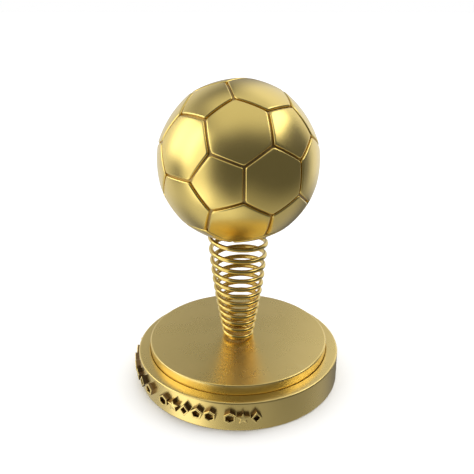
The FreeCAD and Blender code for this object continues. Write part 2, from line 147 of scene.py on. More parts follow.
def face_outwards(piece):
    bpy.context.view_layer.objects.active = piece
    piece.select_set(True)
    bpy.ops.object.mode_set(mode="EDIT")
    bpy.ops.mesh.select_all(action="SELECT")
    bpy.ops.mesh.normals_make_consistent(inside=False)
    bpy.ops.object.mode_set(mode="OBJECT")
    piece.select_set(False)


def sharpen(piece, degrees):
    """Marks edges sharper than this, so that smooth shading stops at them."""
    mesh = piece.data
    faces_at = {}
    for polygon in mesh.polygons:
        for key in polygon.edge_keys:
            faces_at.setdefault(key, []).append(polygon.normal.copy())
    limit = math.radians(degrees)
    for edge in mesh.edges:
        normals = faces_at.get(tuple(sorted(edge.vertices)), [])
        edge.use_edge_sharp = len(normals) == 2 and normals[0].angle(normals[1], 0.0) > limit


# ---- materials ----
LACQUER = 0.7                # weight of the clear coat over the gold


def nodes_of(material):
    """The material's tree, its fresh Principled shader and the object's own coordinates."""
    material.use_nodes = True
    tree = material.node_tree
    tree.nodes.clear()
    output = tree.nodes.new("ShaderNodeOutputMaterial")
    shader = tree.nodes.new("ShaderNodeBsdfPrincipled")
    tree.links.new(shader.outputs["BSDF"], output.inputs["Surface"])
    place = tree.nodes.new("ShaderNodeTexCoord")
    return tree, shader, place.outputs["Object"]


def noise(tree, place, scale, detail=3.0, roughness=0.5, stretch=(1, 1, 1)):
    mapping = tree.nodes.new("ShaderNodeMapping")
    mapping.inputs["Scale"].default_value = stretch
    tree.links.new(place, mapping.inputs["Vector"])
    texture = tree.nodes.new("ShaderNodeTexNoise")
    texture.inputs["Scale"].default_value = scale
    texture.inputs["Detail"].default_value = detail
    texture.inputs["Roughness"].default_value = roughness
    tree.links.new(mapping.outputs["Vector"], texture.inputs["Vector"])
    return texture.outputs["Fac"]


def remap(tree, value, low, high, new_low, new_high):
    node = tree.nodes.new("ShaderNodeMapRange")
    node.inputs["From Min"].default_value = low
    node.inputs["From Max"].default_value = high
    node.inputs["To Min"].default_value = new_low
    node.inputs["To Max"].default_value = new_high
    tree.links.new(value, node.inputs["Value"])
    return node.outputs["Result"]


def mixed_colour(tree, share, first, second):
    """Colour or socket first, going over to second as the share grows to 1."""
    node = tree.nodes.new("ShaderNodeMix")
    node.data_type = "RGBA"
    tree.links.new(share, node.inputs["Factor"])
    for socket, colour in ((node.inputs[6], first), (node.inputs[7], second)):
        if isinstance(colour, tuple):
            socket.default_value = (*colour, 1.0)
        else:
            tree.links.new(colour, socket)
    return node.outputs[2]


def arithmetic(tree, operation, first, second):
    node = tree.nodes.new("ShaderNodeMath")
    node.operation = operation
    for socket, value in zip(node.inputs, (first, second)):
        if isinstance(value, (int, float)):
            socket.default_value = value
        else:
            tree.links.new(value, socket)
    return node.outputs[0]


def bumped(tree, shader, height, strength, distance):
    node = tree.nodes.new("ShaderNodeBump")
    node.inputs["Strength"].default_value = strength
    node.inputs["Distance"].default_value = distance
    tree.links.new(height, node.inputs["Height"])
    tree.links.new(node.outputs["Normal"], shader.inputs["Normal"])


def gold(name, colour, roughness, edge_scuff_and_highlight=0.5, face_radius=None):
    """Satin gold plate: drifting tone, cloudy polish, fine grain, and edges lightened by pointiness, partly wear
    and partly painted highlight.
    Inside face_radius of the Z axis the plate is painted dark, a painted shade on the flanks of a relief."""
    material = bpy.data.materials.new(name)
    tree, shader, place = nodes_of(material)
    shader.inputs["Metallic"].default_value = 1.0
    shader.inputs["Coat Weight"].default_value = LACQUER
    shader.inputs["Coat Roughness"].default_value = 0.4
    deep = tuple(c * k for c, k in zip(colour, (0.96, 0.95, 0.90)))
    pale = tuple(min(c * k, 1.0) for c, k in zip(colour, (1.03, 1.03, 1.08)))
    tone = remap(tree, noise(tree, place, 24.0, 4.0), 0.3, 0.7, 0.0, 1.0)
    plate = mixed_colour(tree, tone, deep, pale)
    geometry = tree.nodes.new("ShaderNodeNewGeometry")
    # Edges lightened by pointiness: partly wear, partly painted highlight.
    edges = remap(tree, geometry.outputs["Pointiness"], 0.53, 0.62, 0.0, edge_scuff_and_highlight)
    patchy = remap(tree, noise(tree, place, 260.0, 4.0, 0.6), 0.35, 0.65, 0.4, 1.0)
    scuffed_and_highlit = arithmetic(tree, "MULTIPLY", edges, patchy)
    scuff_highlight_colour = tuple(min(c * k, 1.0) for c, k in zip(colour, (1.08, 1.12, 1.30)))
    finished = mixed_colour(tree, scuffed_and_highlit, plate, scuff_highlight_colour)
    # Painted shade: the motifs' flanks, inside face_radius, take a fixed dark brown.
    if face_radius:
        flat = tree.nodes.new("ShaderNodeVectorMath")
        flat.operation = "MULTIPLY"
        flat.inputs[1].default_value = (1.0, 1.0, 0.0)
        tree.links.new(place, flat.inputs[0])
        reach = tree.nodes.new("ShaderNodeVectorMath")
        reach.operation = "LENGTH"
        tree.links.new(flat.outputs[0], reach.inputs[0])
        face = remap(tree, reach.outputs["Value"], face_radius - 0.3 * MM, face_radius, 0.0, 1.0)
        finished = mixed_colour(tree, face, PAINTED_MOTIF_SIDE_SHADE, finished)
    tree.links.new(finished, shader.inputs["Base Color"])
    cloud = remap(tree, noise(tree, place, 45.0, 4.0, 0.55), 0.3, 0.7, -0.02, 0.02)
    speck = remap(tree, noise(tree, place, 900.0, 2.0), 0.3, 0.7, -0.008, 0.008)
    finish = arithmetic(tree, "ADD", arithmetic(tree, "ADD", cloud, speck), roughness)
    tree.links.new(finish, shader.inputs["Roughness"])
    fine = noise(tree, place, 1800.0, 3.0, 0.6)
    wavy = noise(tree, place, 120.0, 2.0)
    height = arithmetic(tree, "ADD", fine, arithmetic(tree, "MULTIPLY", wavy, 2.0))
    bumped(tree, shader, height, 0.1, 0.002 * MM)
    return material


def steel(name, colour, roughness):
    """Plain plated steel with a faint grain."""
    material = bpy.data.materials.new(name)
    tree, shader, place = nodes_of(material)
    shader.inputs["Metallic"].default_value = 1.0
    darker = tuple(c * 0.8 for c in colour)
    blotch = remap(tree, noise(tree, place, 300.0, 4.0), 0.3, 0.7, 0.0, 1.0)
    tree.links.new(mixed_colour(tree, blotch, darker, colour), shader.inputs["Base Color"])
    finish = remap(tree, noise(tree, place, 700.0, 3.0), 0.3, 0.7, roughness - 0.06,
                   roughness + 0.08)
    tree.links.new(finish, shader.inputs["Roughness"])
    bumped(tree, shader, noise(tree, place, 2200.0, 3.0), 0.2, 0.03 * MM)
    return material


def painted(name, colour, roughness, scale, depth):
    """Paint, plastic or cast surface: slightly uneven colour and a pebbled skin."""
    material = bpy.data.materials.new(name)
    tree, shader, place = nodes_of(material)
    darker = tuple(c * 0.7 for c in colour)
    blotch = remap(tree, noise(tree, place, scale * 0.2, 4.0), 0.3, 0.7, 0.0, 1.0)
    tree.links.new(mixed_colour(tree, blotch, darker, colour), shader.inputs["Base Color"])
    finish = remap(tree, noise(tree, place, scale, 3.0), 0.3, 0.7, roughness - 0.08,
                   roughness + 0.08)
    tree.links.new(finish, shader.inputs["Roughness"])
    bumped(tree, shader, noise(tree, place, scale, 4.0, 0.6), 0.5, depth)
    return material


def felt(name):
    """Pressed felt: matted fibres as stretched noise, with a soft sheen."""
    material = bpy.data.materials.new(name)
    tree, shader, place = nodes_of(material)
    shader.inputs["Roughness"].default_value = 0.95
    shader.inputs["Sheen Weight"].default_value = 0.4
    shader.inputs["Sheen Roughness"].default_value = 0.6
    along = noise(tree, place, 900.0, 5.0, 0.7, (1.0, 0.2, 1.0))
    across = noise(tree, place, 900.0, 5.0, 0.7, (0.2, 1.0, 1.0))
    matted = arithmetic(tree, "MAXIMUM", along, across)
    tone = remap(tree, matted, 0.4, 0.75, 0.0, 1.0)
    tree.links.new(mixed_colour(tree, tone, (0.012, 0.012, 0.014), (0.05, 0.05, 0.055)),
                   shader.inputs["Base Color"])
    bumped(tree, shader, matted, 0.9, 0.15 * MM)
    return material


GOLD = (0.93, 0.71, 0.235)
PANEL_GOLD = (0.93, 0.71, 0.205)
# Gold darkened as painted shade on the spring's wire.
PAINTED_SHADE_SPRING_GOLD = (0.82, 0.61, 0.17)
# Dark brown painted as shade on the flanks of the frieze's motifs.
PAINTED_MOTIF_SIDE_SHADE = (0.20, 0.115, 0.035)
# Dark bronze: the seat's own tone, and painted shade on the ball's core, seen in the channels between the panels.
SEAT_TONE_AND_CHANNEL_SHADE = (0.42, 0.28, 0.085)
LOOKS = {
    "plinth_gold": gold("satin_gold_plinth", GOLD, 0.28),
    "frieze_gold": gold("gold_frieze_with_painted_side_shade", GOLD, 0.26,
                        face_radius=FRIEZE_FACE - 0.25 * MM),
    "spring_gold": gold("gold_spring_wire", PAINTED_SHADE_SPRING_GOLD, 0.13),
    "panel_gold": gold("satin_gold_panels", PANEL_GOLD, 0.24),
    # Painted shade: the core, seen only in the channels between the panels, is painted dark bronze-brown.
    "core_gold": gold("painted_channel_shade_gold", SEAT_TONE_AND_CHANNEL_SHADE, 0.34, edge_scuff_and_highlight=0.0),
    "seat_aluminium": gold("gold_anodised_seat", SEAT_TONE_AND_CHANNEL_SHADE, 0.34, edge_scuff_and_highlight=0.2),
    "core_plastic": painted("black_plastic", (0.05, 0.05, 0.05), 0.5, 900.0, 0.05 * MM),
    "fastener_steel": steel("zinc_plated_steel", (0.62, 0.63, 0.66), 0.34),
    "plate_steel": painted("black_painted_steel", (0.03, 0.03, 0.032), 0.45, 700.0, 0.04 * MM),
    "ballast_iron": painted("cast_iron", (0.07, 0.07, 0.075), 0.6, 500.0, 0.2 * MM),
    "felt": felt("black_felt"),
}


def dress(piece, slot):
    piece.data.materials.clear()
    piece.data.materials.append(LOOKS[slot])


def finish_rigid(piece, body, slot, *nodes):
    dress(piece, slot)
    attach(piece, body)
    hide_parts(*nodes)


# ---- base ----
BEVEL = 0.9 * MM
SMALL_BEVEL = 0.5 * MM
UPPER_BEVEL = 0.8 * MM
HIDDEN_BEVEL = 0.3 * MM
TINY_BEVEL = 0.1 * MM
RECESS_GAP = 0.25 * MM
COVER_GAP = 0.1 * MM
COVER_OVERLAP = 3.4 * MM     # of the bottom plate on the step it lies against
BOSS_SHANK = 4.9 * MM
BOSS_BORE = 5.1 * MM
# ring-shaped hollow under the upper plinth
HOLLOW_RADII = (14.0 * MM, 45.0 * MM)
HOLLOW_DEPTH = 5.0 * MM
# rings that divide the flat top of the upper plinth
TOP_RINGS = (45.0 * MM, 36.0 * MM, 27.0 * MM, 18.0 * MM, 10.0 * MM)


def build_plinths():
    recess = UPPER_RADIUS + RECESS_GAP
    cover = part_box("bottom_plate")[1]
    web_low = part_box("ballast_disc")[1].z
    cavity = cover.x - COVER_OVERLAP
    cover_seat = cover.x + COVER_GAP
    lower = turned_piece("lower_plinth_turned", [
        (0.0, RECESS_FLOOR, 0.0),
        (0.0, web_low, 0.0),
        (cavity, web_low, SMALL_BEVEL),
        (cavity, cover.z, 2 * TINY_BEVEL),
        (cover_seat, cover.z, TINY_BEVEL),
        (cover_seat, RIM_UNDERSIDE, 2 * TINY_BEVEL),
        (BASE_RADIUS, RIM_UNDERSIDE, SMALL_BEVEL),
        (BASE_RADIUS, LEDGE_HEIGHT, BEVEL),
        (recess, LEDGE_HEIGHT, SMALL_BEVEL),
        (recess, RECESS_FLOOR, HIDDEN_BEVEL),
    ])
    finish_rigid(lower, "base", "plinth_gold", "lower_plinth")
    inner, outer = HOLLOW_RADII
    hollow_top = RECESS_FLOOR + HOLLOW_DEPTH
    upper = turned_piece("upper_plinth_turned", [
        (BOSS_BORE, RECESS_FLOOR, TINY_BEVEL),
        (inner, RECESS_FLOOR, TINY_BEVEL),
        (inner, hollow_top, HIDDEN_BEVEL),
        (outer, hollow_top, HIDDEN_BEVEL),
        (outer, RECESS_FLOOR, TINY_BEVEL),
        (UPPER_RADIUS, RECESS_FLOOR, 2 * TINY_BEVEL),
        (UPPER_RADIUS, TOP_HEIGHT, UPPER_BEVEL),
        *[(radius, TOP_HEIGHT, 0.0) for radius in TOP_RINGS],
        (BOSS_BORE, TOP_HEIGHT, TINY_BEVEL),
    ])
    finish_rigid(upper, "base", "plinth_gold", "upper_plinth")


# ---- frieze ----
RELIEF = FRIEZE_FACE - BASE_RADIUS   # how far the motifs stand out from the rim's wall
STROKE = 1.05 * MM
MOTIF_BEVEL = 0.22 * MM
MOTIF_ROOT = -0.3 * MM       # the motifs start this far inside the rim's wall
SIDE_STEPS = 5               # each side is divided, so that it follows the rim
# sizes of the motifs, as shares of the frieze's half height
HEXAGON_SIZE, PENTAGON_SIZE, LOZENGE_WIDTH, STAR_WAIST = 0.94, 0.96, 0.8, 0.45
# widths of their frames, as shares of the stroke
HEXAGON_FRAME, LOZENGE_FRAME, PENTAGON_FRAME = 0.87, 0.82, 0.93
# CAD node: (first angle, last angle, number of motifs), degrees from the front towards +X
FRIEZE_GROUPS = {
    "frieze_motifs_left": (-109.0, -53.5, 8),
    "frieze_motifs_middle": (-41.0, -14.0, 5),
    "frieze_motifs_right": (-4.0, 9.0, 3),
}


def regular(sides, radius, turn=90.0):
    return [Vector((radius * math.cos(math.radians(turn + 360.0 * i / sides)),
                    radius * math.sin(math.radians(turn + 360.0 * i / sides))))
            for i in range(sides)]


def star(points, outer, inner):
    outline = []
    for i in range(2 * points):
        radius = outer if i % 2 == 0 else inner
        angle = math.radians(90.0 + 180.0 * i / points)
        outline.append(Vector((radius * math.cos(angle), radius * math.sin(angle))))
    return outline


def lozenge(half_width, half_height):
    return [Vector(p) for p in ((half_width, 0), (0, half_height), (-half_width, 0),
                                (0, -half_height))]


def inset(outline, amount):
    """The outline moved inwards by amount, mitred at its corners."""
    moved = []
    count = len(outline)
    for i, here in enumerate(outline):
        before = (here - outline[i - 1]).normalized()
        after = (outline[(i + 1) % count] - here).normalized()
        left_before = Vector((-before.y, before.x))
        left_after = Vector((-after.y, after.x))
        middle = (left_before + left_after).normalized()
        moved.append(here + middle * (amount / middle.dot(left_before)))
    return moved


def divided(outline):
    points = []
    for i, here in enumerate(outline):
        there = outline[(i + 1) % len(outline)]
        points += [here.lerp(there, k / SIDE_STEPS) for k in range(SIDE_STEPS)]
    return points


def on_rim(point, depth, angle):
    """Wraps a flat point (along the rim, up) round the rim, depth out from its wall."""
    turn = angle + point.x / BASE_RADIUS
    radius = BASE_RADIUS + depth
    middle = (FRIEZE_LOW + FRIEZE_HIGH) / 2
    return Vector((radius * math.sin(turn), -radius * math.cos(turn), middle + point.y))


def motif_mesh(outer, inner, angle, verts, faces):
    """One raised motif with bevelled edges; inner is its opening, or None."""
    shoulder, fall = MOTIF_BEVEL * 0.35, MOTIF_BEVEL * 0.3
    loops = [
        (outer, MOTIF_ROOT),
        (outer, RELIEF - MOTIF_BEVEL),
        (inset(outer, shoulder), RELIEF - fall),
        (inset(outer, MOTIF_BEVEL), RELIEF),
    ]
    if inner:
        loops += [
            (inset(inner, -MOTIF_BEVEL), RELIEF),
            (inset(inner, -shoulder), RELIEF - fall),
            (inner, RELIEF - MOTIF_BEVEL),
            (inner, MOTIF_ROOT),
        ]
    rings = []
    for outline, depth in loops:
        ring = list(range(len(verts), len(verts) + len(outline) * SIDE_STEPS))
        verts.extend(on_rim(point, depth, angle) for point in divided(outline))
        rings.append(ring)
    pairs = list(zip(rings, rings[1:]))
    if inner:
        pairs.append((rings[-1], rings[0]))
    for near, far in pairs:
        count = len(near)
        for k in range(count):
            n = (k + 1) % count
            faces.append([near[k], near[n], far[n], far[k]])
    if not inner:
        for ring, depth, flip in ((rings[-1], RELIEF, False), (rings[0], MOTIF_ROOT, True)):
            middle = len(verts)
            verts.append(on_rim(Vector((0, 0)), depth, angle))
            for k in range(len(ring)):
                n = (k + 1) % len(ring)
                faces.append([ring[n], ring[k], middle] if flip else [ring[k], ring[n], middle])


def motif_outlines():
    """(outer outline, opening or None) of each kind of motif, in their order on the rim."""
    half = (FRIEZE_HIGH - FRIEZE_LOW) / 2
    hexagon = regular(6, half * HEXAGON_SIZE)
    diamond = lozenge(half * LOZENGE_WIDTH, half)
    pentagon = regular(5, half * PENTAGON_SIZE)
    return [
        (hexagon, inset(hexagon, STROKE * HEXAGON_FRAME)),
        (star(5, half, half * STAR_WAIST), None),
        (diamond, inset(diamond, STROKE * LOZENGE_FRAME)),
        (pentagon, inset(pentagon, STROKE * PENTAGON_FRAME)),
    ]


def build_frieze():
    outlines = motif_outlines()
    for node, (first, last, count) in FRIEZE_GROUPS.items():
        verts, faces = [], []
        for i in range(count):
            angle = math.radians(first + (last - first) * i / (count - 1))
            outer, inner = outlines[i % len(outlines)]
            motif_mesh(outer, inner, angle, verts, faces)
        piece = new_piece(node.replace("motifs", "relief"), verts, faces)
        face_outwards(piece)
        sharpen(piece, 50.0)
        finish_rigid(piece, "base", "frieze_gold", node)


# ---- spring ----
WIRE_RADIUS = 1.3 * MM
SPRING_TURNS = 11.0
TOP_COIL, FOOT_COIL = 15.9 * MM, 8.1 * MM
TAPER_BLEND = 0.22
FIRST_TURN_HEIGHT = 84.85 * MM
PITCH_TOP, PITCH_LEAST, PITCH_LEAST_AT = 7.6 * MM, 4.59 * MM, 0.7
CROWN_TURNS, CROWN_EASE, CROWN_HEIGHT = 0.85, 0.75, 89.3 * MM
FOOT_TURNS, FOOT_EASE = 0.72, 0.5
FOOT_TUCK = 0.5 * MM
TWIST_TOP = 38.0 * MM        # height where the foot's piece of the wire ends
RINGS_PER_TURN = 72
WIRE_SIDES = 20
WIRE_END_LENGTH = 0.25 * MM
WIRE_END_SHARE = 0.75        # the cut ends narrow to this share of the wire, over that length


def coil_radius(turn):
    fraction = min(max(turn / SPRING_TURNS, 0.0), 1.0)
    drop = (1 - TAPER_BLEND) * fraction + TAPER_BLEND * fraction ** 2
    past = min(max(turn - SPRING_TURNS, 0.0), FOOT_EASE)
    return TOP_COIL - (TOP_COIL - FOOT_COIL) * drop - FOOT_TUCK * past


def working_height(turn):
    """Height of the wire's centre; the pitch follows a parabola down the spring."""
    fraction = turn / SPRING_TURNS
    offset = (fraction - PITCH_LEAST_AT) / PITCH_LEAST_AT
    extra = (PITCH_TOP - PITCH_LEAST) * PITCH_LEAST_AT / 3.0 * (offset ** 3 + 1.0)
    return FIRST_TURN_HEIGHT - SPRING_TURNS * (PITCH_LEAST * fraction + extra)


def ease(start, end, start_slope, length, u):
    """Cubic from start to end that leaves with start_slope and arrives level."""
    return (start * (1 + 2 * u) * (1 - u) ** 2 + end * u * u * (3 - 2 * u)
            + start_slope * length * u * (1 - u) ** 2)


def coil_height(turn):
    if turn < 0.0:
        u = min(-turn / CROWN_EASE, 1.0)
        return ease(FIRST_TURN_HEIGHT, CROWN_HEIGHT, PITCH_TOP, CROWN_EASE, u)
    if turn > SPRING_TURNS:
        step = 0.01
        slope = (working_height(SPRING_TURNS) - working_height(SPRING_TURNS - step)) / step
        u = min((turn - SPRING_TURNS) / FOOT_EASE, 1.0)
        return ease(working_height(SPRING_TURNS), TOP_HEIGHT + WIRE_RADIUS, slope, FOOT_EASE, u)
    return working_height(turn)


def wire_point(turn):
    angle = 2 * math.pi * turn - math.pi / 2
    radius = coil_radius(turn)
    return Vector((radius * math.cos(angle), radius * math.sin(angle), coil_height(turn)))


def turn_at_height(height):
    low, high = 0.0, SPRING_TURNS
    for _ in range(40):
        middle = (low + high) / 2
        if coil_height(middle) > height:
            low = middle
        else:
            high = middle
    return low


def wire_piece(name, first, last, narrow_first, narrow_last):
    """The wire from one turn to another, as a closed tube; it narrows at its free ends."""
    count = int(math.ceil((last - first) * RINGS_PER_TURN))
    stations = [(first + (last - first) * i / count, 1.0) for i in range(count + 1)]
    tiny = 0.0005
    if narrow_first:
        past = WIRE_END_LENGTH / (2 * math.pi * TOP_COIL)
        stations.insert(0, (first - past, WIRE_END_SHARE))
    if narrow_last:
        past = WIRE_END_LENGTH / (2 * math.pi * FOOT_COIL)
        stations.append((last + past, WIRE_END_SHARE))
    verts, faces = [], []
    for turn, share in stations:
        centre = wire_point(turn)
        tangent = (wire_point(turn + tiny) - wire_point(turn - tiny)).normalized()
        outwards = Vector((centre.x, centre.y, 0))
        x_axis = (outwards - tangent * tangent.dot(outwards)).normalized()
        y_axis = tangent.cross(x_axis)
        for k in range(WIRE_SIDES):
            angle = 2 * math.pi * k / WIRE_SIDES
            offset = x_axis * math.cos(angle) + y_axis * math.sin(angle)
            verts.append(centre + offset * (WIRE_RADIUS * share))
    for i in range(len(stations) - 1):
        for k in range(WIRE_SIDES):
            n = (k + 1) % WIRE_SIDES
            near, far = i * WIRE_SIDES, (i + 1) * WIRE_SIDES
            faces.append([near + k, near + n, far + n, far + k])
    faces.append(list(range(WIRE_SIDES))[::-1])
    final = (len(stations) - 1) * WIRE_SIDES
    faces.append([final + k for k in range(WIRE_SIDES)])
    piece = new_piece(name, verts, faces)
    sharpen(piece, 60.0)
    return piece


def build_spring():
    joints = {joint["name"]: joint for joint in frame["joints"]}
    front_top = joints["sway_front_back"]["pos_m"][2] * 2 - TWIST_TOP
    side_top = joints["sway_side"]["pos_m"][2] * 2 - front_top
    foot_low = TOP_HEIGHT + 2 * WIRE_RADIUS
    bob_top = CROWN_HEIGHT - 2 * WIRE_RADIUS
    foot_end = SPRING_TURNS + FOOT_TURNS
    cuts = [-CROWN_TURNS, turn_at_height(side_top), turn_at_height(front_top),
            turn_at_height(TWIST_TOP), foot_end]
    spans = [
        ("spring_wire_crown", "upper_spring", "ball", side_top, bob_top,
         ("spring_crown_coil", "spring_upper_coils")),
        ("spring_wire_upper", "middle_spring", "upper_spring", front_top, side_top,
         ("spring_middle_coils",)),
        ("spring_wire_lower", "lower_spring", "middle_spring", TWIST_TOP, front_top,
         ("spring_lower_coils",)),
        ("spring_wire_foot", "base", "lower_spring", foot_low, TWIST_TOP,
         ("spring_foot_coils",)),
    ]
    for i, (name, below, above, low, high, nodes) in enumerate(spans):
        piece = wire_piece(name, cuts[i], cuts[i + 1], i == 0, i == len(spans) - 1)
        dress(piece, "spring_gold")
        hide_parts(*nodes)
        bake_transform(piece)


def build_boss():
    boss = turned_piece("spring_boss_turned", [
        (0.0, BOSS_TOP, 0.0),
        (0.0, BOSS_FOOT, 0.0),
        (BOSS_SHANK, BOSS_FOOT, HIDDEN_BEVEL),
        (BOSS_SHANK, TOP_HEIGHT, TINY_BEVEL),
        (BOSS_RADIUS, TOP_HEIGHT, TINY_BEVEL),
        (BOSS_RADIUS, BOSS_TOP, 0.4 * MM),
    ], 96)
    finish_rigid(boss, "base", "plinth_gold", "spring_clamp_boss")


# ---- ball ----
PATTERN_TURN = (-44.4, 0.7, 0.6)   # yaw, pitch and roll of the panel pattern, degrees
GOLDEN = (1.0 + math.sqrt(5.0)) / 2.0
CHANNEL_WIDTH = 1.0 * MM
PANEL_CURVATURE = 55.0 * MM
CROWNS = {"pentagon": 43.4 * MM, "hexagon": 43.2 * MM}
SIDES = {"pentagon": 5, "hexagon": 6}
EDGE_WIDTH = 1.0 * MM        # the panels' edges roll over within this width
EDGE_DROP = 0.85 * MM
EDGE_STEPS = 7
DOME_RINGS = 14
CORNER_SHARPNESS = 46.0      # the higher, the tighter the panels' corners
PANEL_SECTORS = 120
NEIGHBOUR_REACH = 2.1        # an icosahedron with edges of 2 has its next corners further off
SINK = 0.2 * MM              # how deep the panels stand in the core
SOCKET_GAP = 0.05 * MM
SOCKET_RUN = 20.0 * MM       # how far the socket's cutter runs on below the ball


def pattern_corners():
    yaw, pitch, roll = (math.radians(a) for a in PATTERN_TURN)
    turn = (Matrix.Rotation(yaw, 3, "Z") @ Matrix.Rotation(pitch, 3, "Y")
            @ Matrix.Rotation(roll, 3, "X"))
    corners = []
    for a in (-1.0, 1.0):
        for b in (-GOLDEN, GOLDEN):
            corners += [Vector((0, a, b)), Vector((a, b, 0)), Vector((b, 0, a))]
    return [turn @ corner for corner in corners]


def panel_frames():
    """(kind, outward normal, direction to one corner) of all panels."""
    corners = pattern_corners()
    found = []
    for corner in corners:
        other = next(o for o in corners if 0.1 < (o - corner).length < NEIGHBOUR_REACH)
        found.append(("pentagon", corner.normalized(), corner * 2 + other))
    for i, a in enumerate(corners):
        for j, b in enumerate(corners[:i]):
            for c in corners[:j]:
                sides = ((a - b).length, (b - c).length, (c - a).length)
                if max(sides) < NEIGHBOUR_REACH:
                    found.append(("hexagon", (a + b + c).normalized(), a * 2 + b))
    return found


def seam_angle(sides):
    """Angle between a panel's normal and the middle of its seam."""
    edge = 2.0 / math.sqrt(1.0 + 9.0 * GOLDEN ** 2)
    reach = edge / (2.0 * math.sin(math.pi / sides))
    face = math.sqrt(1.0 - reach * reach)
    middle = math.sqrt(1.0 - edge * edge / 4.0)
    return math.acos(face / middle)


def outline_reach(sides, angle, inset_distance, radius):
    """Tangent of the angle from the normal to the panel's outline, moved in by a distance.
    Near a corner the two sides blend, which rounds it."""
    alpha = seam_angle(sides)
    total = 0.0
    for i in range(sides):
        lean = math.cos(angle - math.pi * (2 * i + 1) / sides)
        if lean <= 0.05:
            continue
        reach = math.tan(alpha)
        for _ in range(4):
            room = math.sin(alpha) - inset_distance / radius * math.sqrt(1 + reach * reach)
            reach = max(room, 1e-5) / (math.cos(alpha) * lean)
        total += reach ** -CORNER_SHARPNESS
    return total ** (-1.0 / CORNER_SHARPNESS)


def dome_radius(direction_z, crown):
    """Distance from the ball's centre to the panel's flatter dome, along a direction."""
    shift = PANEL_CURVATURE - crown
    along = -shift * direction_z
    return along + math.sqrt(along * along + PANEL_CURVATURE ** 2 - shift ** 2)


def panel_mesh(kind):
    """A covering in its own frame, outwards along Z: core side, wall, rolled edge, dome."""
    sides, crown = SIDES[kind], CROWNS[kind]
    half_channel = CHANNEL_WIDTH / 2
    angles = [2 * math.pi * k / PANEL_SECTORS for k in range(PANEL_SECTORS)]
    rows = []
    for k in range(EDGE_STEPS + 1):
        bend = math.pi / 2 * k / EDGE_STEPS
        moved_in = half_channel + EDGE_WIDTH * (1 - math.cos(bend))
        drop = EDGE_DROP * (1 - math.sin(bend))
        rows.append(([outline_reach(sides, a, moved_in, crown) for a in angles], drop))
    flat_edge = rows[-1][0]
    for k in range(DOME_RINGS - 1, 0, -1):
        share = k / DOME_RINGS
        even = sum(flat_edge) / PANEL_SECTORS
        rows.append(([share * (reach * share + even * (1 - share)) for reach in flat_edge], 0.0))
    ways = [[Vector((reach * math.cos(a), reach * math.sin(a), 1.0)).normalized()
             for reach, a in zip(reaches, angles)] for reaches, _ in rows]
    core_side = CORE_RADIUS - SINK
    rings = [[way * core_side for way in ways[0]]]
    for row_ways, (_, drop) in zip(ways, rows):
        rings.append([way * (dome_radius(way.z, crown) - drop) for way in row_ways])
    verts = [vert for ring in rings for vert in ring]
    faces = []
    for i in range(len(rings) - 1):
        for k in range(PANEL_SECTORS):
            n = (k + 1) % PANEL_SECTORS
            near, far = i * PANEL_SECTORS, (i + 1) * PANEL_SECTORS
            faces.append([near + k, near + n, far + n, far + k])
    for start, height, flip in ((0, core_side, True), (len(verts) - PANEL_SECTORS, crown, False)):
        middle = len(verts)
        verts.append(Vector((0, 0, height)))
        for k in range(PANEL_SECTORS):
            n = (k + 1) % PANEL_SECTORS
            edge = [start + n, start + k] if flip else [start + k, start + n]
            faces.append(edge + [middle])
    return verts, faces


def cut_socket(piece):
    """Cuts the round socket for the spring's seat out of a panel."""
    depth = SEAT_TOP - (BALL_CENTRE.z - CORE_RADIUS) + SOCKET_RUN
    bpy.ops.mesh.primitive_cylinder_add(
        vertices=160, radius=SEAT_RADIUS + SOCKET_GAP, depth=depth,
        location=(0, 0, SEAT_TOP - depth / 2))
    tool = bpy.context.object
    modifier = piece.modifiers.new("socket", "BOOLEAN")
    modifier.object = tool
    modifier.operation = "DIFFERENCE"
    modifier.solver = "EXACT"
    bpy.context.view_layer.objects.active = piece
    bpy.ops.object.modifier_apply(modifier=modifier.name)
    bpy.data.objects.remove(tool)


def nearest_node(kind, normal):
    """The CAD panel whose middle lies along this normal."""
    def lean(node):
        low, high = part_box(node)
        return ((low + high) / 2 - BALL_CENTRE).normalized().dot(normal)

    return max((node for node in frame["nodes"] if node.startswith(kind + "_panel")), key=lean)


def build_ball():
    shapes = {kind: panel_mesh(kind) for kind in SIDES}
    for kind, normal, corner in panel_frames():
        x_axis = (corner - normal * normal.dot(corner)).normalized()
        y_axis = normal.cross(x_axis)
        turn = Matrix((x_axis, y_axis, normal)).transposed()
        verts, faces = shapes[kind]
        placed = [turn @ vert + BALL_CENTRE for vert in verts]
        node = nearest_node(kind, normal)
        piece = new_piece(node.replace("panel", "cover"), placed, faces)
        if min(vert.z for vert in placed) < SEAT_TOP:
            cut_socket(piece)
        sharpen(piece, 55.0)
        finish_rigid(piece, "ball", "panel_gold", node)


# ---- carried-over CAD nodes ----
def dress_cad_nodes():
    slots = {row["node"]: row["material_slot"] for row in frame["record"]["subparts"]}
    for name, node in frame["nodes"].items():
        dress(node, slots[name])


# ---- floor, light and camera ----
FLOOR_SIZE = 30.0


def build_floor():
    half = FLOOR_SIZE / 2
    corners = [(-half, -half, 0), (half, -half, 0), (half, half, 0), (-half, half, 0)]
    floor = new_piece("floor", corners, [[0, 1, 2, 3]], smooth=False)
    material = bpy.data.materials.new("pale_floor")
    tree, shader, place = nodes_of(material)
    grey = remap(tree, noise(tree, place, 4.0, 3.0), 0.3, 0.7, 0.0, 1.0)
    tree.links.new(mixed_colour(tree, grey, (0.86, 0.87, 0.88), (0.88, 0.88, 0.88)),
                   shader.inputs["Base Color"])
    shader.inputs["Roughness"].default_value = 0.9
    shader.inputs["Specular IOR Level"].default_value = 0.0
    floor.data.materials.append(material)
    floor.visible_glossy = False


CEILING_LIGHT = 2.6


